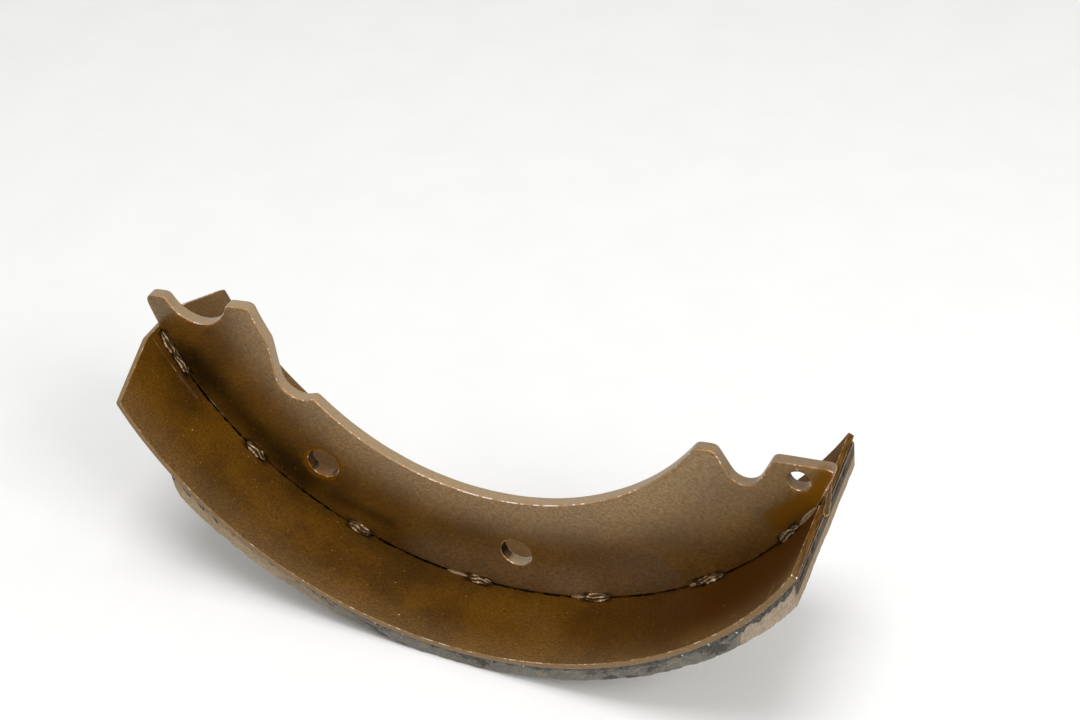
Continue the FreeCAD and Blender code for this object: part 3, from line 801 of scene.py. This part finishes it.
def liningFinish():
    finish = newFinish("moulded_friction_lining")
    strip, atEnd = stored("strip", "Vector"), stored("endFace")
    along, across, rise = addNode("SeparateXYZ", {"Vector": strip}).outputs
    broad = cloud(stretched(strip, 0.5, 1.0, 1.0), 160, 4)
    grit, fine = cloud(strip, 1500, 4, 0.65), cloud(strip, 3200, 2, 0.5)
    ragged = scaled(cloud(strip, 420, 3), 0.0040, -0.0020)
    # three tones along the side, the one at the toe with a crisp torn border
    border = plus(along, ragged)
    fromHeel = span(border, lining["heelZone"] - 0.018, lining["heelZone"] + 0.018)
    atToe = span(border, lining["toeZone"], lining["toeZone"] + 0.0003)
    colour = blend(fromHeel, lining["heelColour"], lining["middleColour"])
    smear = cloud(stretched(strip, 0.4, 1.0, 1.2), 300, 4, 0.6, 0.4)
    colour = blend(times(span(smear, 0.54, 0.62, 0.0, 0.62), fromHeel), colour, lining["smear"])
    patch = cloud(stretched(strip, 0.6, 1.0, 1.0), 380, 3)
    colour = blend(span(patch, 0.60, 0.64, 0.0, 0.35), colour, lining["heelColour"])
    colour = blend(atToe, colour, lining["toeColour"])
    # end face: a darker band beside the rim, with blots and torn blobs of glue, and a paler one outside
    outerBand = span(scaled(ragged, 0.04, rise), -0.00010, 0.00010)
    bands = blend(outerBand, lining["endColour"], lining["endBand"])
    blots = times(span(cloud(strip, 300, 3, 0.6), 0.56, 0.59), span(scaled(ragged, 0.25, rise), -0.0009, -0.0012))
    flatStrip = addNode("CombineXYZ", {"X": 0.0, "Y": across, "Z": rise}).outputs[0]
    torn = scaled(cloud(strip, 700, 3, 0.6), 0.0016, -0.0008)
    for centre, reach in lining["blobs"]:
        first, last = ((0.0, (centre + side * reach) * 0.001, lining["blobRise"]) for side in (-1, 1))
        blots = larger(blots, nearLine(flatStrip, first, last, reach * 0.001, 0.00008, torn))
    bands = blend(times(blots, 0.9), bands, lining["glue"])
    colour = blend(atEnd, colour, bands)
    # the friction face is ground to one tone, with faint scoring along it
    scored = cloud(stretched(strip, 0.02, 1.0, 1.0), 900, 3, 0.6)
    ground = blend(span(scored, 0.35, 0.65), lining["faceColour"], lining["scoreColour"])
    onFace = times(span(rise, 0.00186, 0.00198), minus(1.0, atEnd))
    colour = blend(onFace, colour, ground)
    mottle = weighted((grit, 0.6), (fine, 0.2), (broad, 0.2))
    colour = blend(1.0, colour, span(mottle, 0.36, 0.64, 0.72, 1.22), "MULTIPLY")
    pit = specks(strip, 620.0, 1, 0.86, 0.10, 0.22)
    colour = blend(times(pit, 0.9), colour, lining["pitColour"])
    colour = blend(specks(strip, 500.0, 2, 0.975, 0.05, 0.10), colour, lining["fleckColour"])
    waves = addNode("TexWave", {"Vector": stretched(strip, 0.06, 1.0, 1.0), "Scale": 560.0, "Distortion": 2.5,
                                "Detail": 2.0, "Detail Scale": 1.5}, bands_direction="Z").outputs["Fac"]
    ripple = times(waves, minus(1.0, fromHeel))
    height = weighted((grit, 0.7), (pit, -1.6), (ripple, 0.8))
    roughness = span(grit, 0.3, 0.7, 0.70, 0.92)
    return closeFinish(finish, colour, roughness, height, 0.00012, 0.9, Specular_IOR_Level=0.12)


# Adhesive: a film under the rim, squeezed out along both sides in a scalloped dark bead
adhesive = {
    "rows": 900,
    "filmTop": 0.09562,
    "filmBottom": 0.09598,
    "heelReach": 0.0806,
    "toeReach": 0.0824,
    "length": 0.19,         # of the wandering scallops
    "tuck": 0.0004,         # how far the film stops inside the lining's side
    "lap": 0.00006,         # how far the bead starts above the film
    "neck": 0.0004,         # what every bead reaches down, before its drop
    "bead": 0.0002,
    "thin": 0.00085,
    "thick": 0.00105,
    "lowest": 0.28,         # share of the length from the heel where the band starts to widen
    "widest": 0.8,          # and where it is at its widest
    "colour": (36, 34, 32),
    "paler": (82, 76, 68),
    "darker": (14, 14, 15),
    "glint": (206, 212, 220),
}


def makeAdhesive():
    # section: down the near bead, across under the film, up the far bead and back; towards the toe the beads
    # grow from thin and small to thick scallops
    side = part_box("friction_lining")[1].y
    top, bottom = adhesive["filmTop"], adhesive["filmBottom"]
    share, down = np.linspace(0, 1, adhesive["rows"]), np.linspace(0, 1, 9)
    run = share * adhesive["length"]
    heavy = smoothStep(share, adhesive["lowest"], adhesive["widest"]) ** 1.5
    bulge = np.clip(np.sin(math.pi * (down * 0.8 + 0.2).clip(0, 1)), 0, 1) ** 0.7 * (1 - 0.75 * down)
    sections = []
    for seed, sign in ((21, -1.0), (22, 1.0)):
        scallop = np.clip(0.80 + 0.20 * wobble(run, seed, 0.010, 0.0012), 0.25, 1.25)
        small = np.clip(0.6 + 0.5 * wobble(run, seed + 9, 0.006, 0.0009), 0.2, 1.6)
        drop = adhesive["thin"] * small * (1 - heavy) + adhesive["thick"] * scallop * heavy
        proud = adhesive["bead"] * (0.5 + 0.5 * heavy) * (1 + 0.35 * wobble(run, seed + 5, 0.01, 0.0016))
        radius = top - adhesive["lap"] + (drop[:, None] + adhesive["neck"]) * down
        out = side + np.clip(proud, 0.00004, None)[:, None] * bulge - 0.00003
        ends = ((0, 0), (1, 1))
        sections.append((np.pad(radius, ends, constant_values=((0, 0), (top, bottom))),
                         sign * np.pad(out, ends, constant_values=side - adhesive["tuck"])))
    radius, across = (np.hstack([near, far[:, ::-1]]) for near, far in zip(*sections))
    points = onShoe(radius, evenAngle(radius, share[:, None], adhesive), across)
    rows, columns = radius.shape
    faces = gridFaces(rows, columns, wrapColumns=True)
    faces += [list(range(columns))[::-1], list(range((rows - 1) * columns, rows * columns))]
    meshPiece("adhesive_film", points.reshape(-1, 3), faces, {}, "adhesive", [adhesiveFinish()], "bond_line")


def adhesiveFinish():
    finish = newFinish("squeezed_adhesive")
    place = addNode("TexCoord").outputs["Object"]
    grain = cloud(place, 900, 4, 0.6)
    colour = blend(span(grain, 0.42, 0.60), adhesive["colour"], adhesive["paler"])
    darker = span(cloud(place, 330, 3), 0.56, 0.60, 0.0, 0.9)
    colour = blend(darker, colour, adhesive["darker"])
    # painted glints: small pale specks
    glint = times(specks(place, 640.0, 2, 0.70, 0.12, 0.24), 0.95)
    colour = blend(glint, colour, adhesive["glint"])
    return closeFinish(finish, colour, span(grain, 0.35, 0.65, 0.30, 0.65), grain, 0.00012, IOR=1.45)


# Projection welds: squeezed metal in the corner between web and rim; each is start, end (degrees), size in mm
welds = {
    "near": ((-74.4, -69.4, 1.45), (-70.6, -65.9, 1.20), (-51.5, -47.2, 1.45), (-30.4, -26.1, 1.5),
             (-8.9, -4.6, 1.35), (11.6, 16.1, 1.4), (31.9, 37.5, 1.25), (49.8, 54.6, 1.45),
             (-12.4, -8.4, 0.5), (9.2, 12.0, 0.5), (30.6, 32.6, 0.45), (54.4, 59.3, 0.75)),
    "far": ((-73.8, -69.5, 1.35), (-70.2, -66.0, 1.25), (-51.3, -47.2, 1.35), (-30.6, -26.3, 1.4),
            (-9.7, -5.7, 1.35), (11.1, 15.1, 1.35), (31.7, 36.4, 1.35), (50.2, 54.9, 1.4),
            (-46.9, -44.8, 0.45), (15.2, 17.0, 0.45), (54.3, 58.8, 0.7)),
    "rows": 40,
    "lips": 7.5,            # ridges in a full turn, of which about a quarter shows
    "smallSize": 0.8,       # mm; anything smaller is a plain dab
    "sunk": 0.00005,        # how far the corner lies inside the plates
    "joinGap": 1.8,         # degrees; the painted shade rings of welds closer than this are one
    "softEnd": (0.9, 0.2),  # degrees outside and inside a weld's end
    "rampReach": 80.0,      # degrees either side of the bottom
    "lipHeight": 0.13,
    "lumpHeight": 0.06,
    "trough": (56, 37, 14),
    "crest": (116, 84, 44),
    "glint": (214, 190, 150),
}


def makeWelds():
    # Each nugget is a spindle in the corner: its radius at u along it and turn t round it is
    # size (1 - u^2)^0.55 (1 + lips + lumps). Lips are fine ridges along it. Its back, in the plates, is thinner.
    rows = welds["rows"]
    u = np.sin(np.linspace(-math.pi / 2, math.pi / 2, rows + 2)[1:-1])[:, None]
    t = np.radians(np.concatenate([np.linspace(-28, 118, 64), np.linspace(118, 332, 16)[1:-1]]))[None]
    columns, foot = t.shape[1], shoe["rimInner"] - welds["sunk"]
    front = np.clip(np.cos(t - math.pi / 4), 0, 1)
    spots = np.stack(np.broadcast_arrays(u * 3.0, np.cos(t) * 1.1, np.sin(t) * 1.1), axis=-1).reshape(-1, 3)
    points, ridge, faces, start = [], [], [], 0
    for sign, key in ((-1, "near"), (1, "far")):
        for k, (first, last, size) in enumerate(welds[key]):
            seed = 100 * (2 + sign) + k
            lumps = wobble(spots, seed, 3.0, 0.6).reshape(rows, columns)
            wander = 1.3 * wobble(u * 1.5, seed + 31, 4.0, 1.2)[:, None]
            lips = np.cos(welds["lips"] * (t - math.pi / 4) + wander) * smoothStep(front, 0.25, 0.7)
            lips = lips * (1 - 0.6 * u ** 4)
            grown = 0.40 + 0.60 * smoothStep(front, 0.0, 0.8)
            grown = grown * (1 + welds["lipHeight"] * lips + welds["lumpHeight"] * lumps)
            radius = size * 0.001 * (1 - u * u) ** 0.55 * grown
            angle = np.radians((first + last) / 2 + (last - first) / 2 * u) + 0 * t
            tube = onShoe(foot - radius * np.sin(t), angle, 0.0)
            tube[..., 1] = sign * (shoe["webHalf"] - welds["sunk"] + radius * np.cos(t))
            poles = onShoe(np.full(2, foot), np.radians([first, last]), sign * shoe["webHalf"])
            points += [tube.reshape(-1, 3), poles]
            height = 0.5 + 0.42 * lips + 0.22 * lumps - 0.5 * np.abs(u) ** 3
            if size < welds["smallSize"]:
                height = np.full_like(height, 0.72)
            ridge += [np.clip(height, 0, 1).ravel(), np.zeros(2)]
            faces += spindleFaces(rows, columns, start)
            start += rows * columns + 2
    meshPiece("weld_nuggets", np.vstack(points), faces, {"ridge": np.concatenate(ridge)},
              "weld_metal", [weldFinish()], "weld_beads")


def weldFinish():
    finish = newFinish("squeezed_weld_metal")
    place = addNode("TexCoord").outputs["Object"]
    ridge, grain = stored("ridge"), cloud(place, 1300, 3, 0.6)
    level = plus(ridge, scaled(grain, 0.7, -0.35))
    colour = blend(span(level, 0.30, 0.78), welds["trough"], welds["crest"])
    # painted glints on the highest ridges
    bright = span(plus(ridge, scaled(grain, 1.8, -0.9)), 0.92, 1.15)
    colour = blend(times(bright, 0.85), colour, welds["glint"])
    tint = blend(span(level, 0.25, 0.7), (0.15, 0.1, 0.05, 1), (1, 0.9, 0.75, 1))
    roughness = span(grain, 0.35, 0.65, 0.16, 0.40)
    return closeFinish(finish, colour, roughness, grain, 0.00010, 0.8, tint=tint, IOR=1.9)


# Lacquer run: a drop that crept from the web's foot over the rim's toe end and set there
lacquerRun = {
    # radius from the drum axis and place across, in mm, along its middle, with its half width and its rise
    "path": ((94.3, 8.6, 0.28, 0.10), (94.5, 6.6, 0.42, 0.26), (94.9, 4.4, 0.48, 0.30), (95.3, 2.2, 0.62, 0.34),
             (95.7, 0.2, 0.86, 0.42), (96.0, -1.8, 0.80, 0.50), (96.1, -3.2, 0.62, 0.46), (96.1, -4.1, 0.30, 0.22)),
    "angle": 60.0,
    "sunk": 0.00004,
    "rows": 60,
    "columns": 28,
}


def makeLacquerRun():
    # a flattened tube along the path: at turn t its section is (width cos t, rise sin t), its back half buried
    path = np.array(lacquerRun["path"]) * 0.001
    knots, rows = np.linspace(0, 1, len(path)), np.linspace(0, 1, lacquerRun["rows"])
    smooth = np.stack([np.interp(rows, knots, path[:, k]) for k in range(4)], axis=1)
    for _ in range(14):
        smooth[1:-1] = 0.25 * smooth[:-2] + 0.5 * smooth[1:-1] + 0.25 * smooth[2:]
    turn = np.linspace(0, 2 * math.pi, lacquerRun["columns"], endpoint=False)[None]
    closing = np.sqrt(np.clip(1 - (2 * rows - 1) ** 14, 0, 1))[:, None]
    width, rise = smooth[:, 2:3] * closing, smooth[:, 3:4] * closing
    width = width * (1 + 0.10 * wobble(rows, 61, 0.6, 0.15)[:, None])
    lift = rise * np.sin(turn)
    lift = np.where(lift > 0, lift, lift * 0.5) - lacquerRun["sunk"]
    radius = smooth[:, 0:1] + width * np.cos(turn)
    points = onShoe(radius, math.radians(lacquerRun["angle"]) + lift / radius, 0.0)
    points[..., 1] = smooth[:, 1:2]
    points = np.vstack([points.reshape(-1, 3), points[0].mean(0), points[-1].mean(0)])
    faces = spindleFaces(len(rows), lacquerRun["columns"])
    # two lines along its flanks where the finish paints pale highlights, as if they were rubbed arrises
    highlightLineDistance = np.abs(np.abs(np.cos(turn)) - 0.86) * width + 0.00002
    edge = np.concatenate([highlightLineDistance.ravel(), [0.001, 0.001]])
    meshPiece("lacquer_run", points, faces, {"edgeDistance": edge, "wall": 0.0 * edge},
              "brown_lacquer", [lacquerFinish("run_lacquer", runLook)])


# Studio
studio = {
    "eye": (0.14071, -0.28929, 0.33176),
    "aim": (0.01724, 0.0, 0.08353),
    "cameraRoll": -1.659,   # degrees
    "lens": 57.52,
    "floorColour": (250, 250, 249),
    "floorShade": (240, 240, 239),
    "floorRings": (0.3, 0.8, 2.0, 4.0),
    "floorColumns": 96,
    "worldLevel": 0.45,
    "lampAim": (0, 0, 0.04),
    # name, place, side in metres and watts
    "softboxes": (("top_softbox", (0.03, -0.15, 1.05), 0.45, 4.8),
                  ("right_softbox", (0.75, -0.35, 0.75), 0.45, 4.4),
                  ("left_softbox", (-0.8, -0.4, 0.6), 0.6, 0.8)),
}


def aimObject(name, data, place, aim, roll=0.0):
    # the object looks from place to aim, turned about that line by roll radians
    made = addObject(name, data)
    made.location, made.rotation_mode = place, "QUATERNION"
    level = (Vector(aim) - Vector(place)).to_track_quat("-Z", "Y")
    made.rotation_quaternion = level @ Quaternion((0, 0, 1), roll)
    return made


def addCamera():
    data = bpy.data.cameras.new("camera")
    data.lens, data.sensor_width, data.sensor_fit = studio["lens"], 36.0, "HORIZONTAL"
    data.clip_start, data.clip_end = 0.01, 20.0
    roll = math.radians(studio["cameraRoll"])
    bpy.context.scene.camera = aimObject("camera", data, studio["eye"], studio["aim"], roll)


def addStudio():
    columns, rings = studio["floorColumns"], np.array(studio["floorRings"])[:, None]
    way = np.linspace(0, 2 * math.pi, columns + 1)[:-1]
    disc = np.stack([rings * np.cos(way), rings * np.sin(way), 0 * rings * way], axis=-1)
    mesh = bpy.data.meshes.new("floor")
    faces = fan(0, 1 + np.arange(columns)) + gridFaces(len(rings), columns, 1, wrapColumns=True)
    mesh.from_pydata([(0, 0, 0)] + disc.reshape(-1, 3).tolist(), [], faces)
    floor = addObject("floor", mesh)
    finish = newFinish("pale_floor")
    speckle = span(cloud(addNode("TexCoord").outputs["Object"], 40, 2), 0.3, 0.7, 0.0, 0.2)
    colour = blend(speckle, studio["floorColour"], studio["floorShade"])
    mesh.materials.append(closeFinish(finish, colour, 0.9, Specular_IOR_Level=0.1))
    world = bpy.data.worlds.new("studio")
    world.use_nodes = True
    world.node_tree.nodes.clear()
    graph["tree"] = world.node_tree
    # white to the camera and in reflections, but dimmer as a light on the shoe
    ray = addNode("LightPath").outputs
    shown = larger(ray["Is Camera Ray"], larger(ray["Is Glossy Ray"], ray["Is Transmission Ray"]))
    level = mixed(shown, studio["worldLevel"], 1.0)
    backing = addNode("Background", {"Color": (1, 1, 1, 1), "Strength": level})
    addNode("OutputWorld", {0: backing.outputs[0]})
    bpy.context.scene.world = world
    for name, place, side, watts in studio["softboxes"]:
        data = bpy.data.lights.new(name, "AREA")
        data.size, data.energy = side, watts
        aimObject(name, data, place, studio["lampAim"])


makeWeb()
makeRim()
makeLining()
makeAdhesive()
makeWelds()
makeLacquerRun()
addCamera()
addStudio()
bpy.context.scene.view_settings.view_transform = "Standard"
print("studio set")
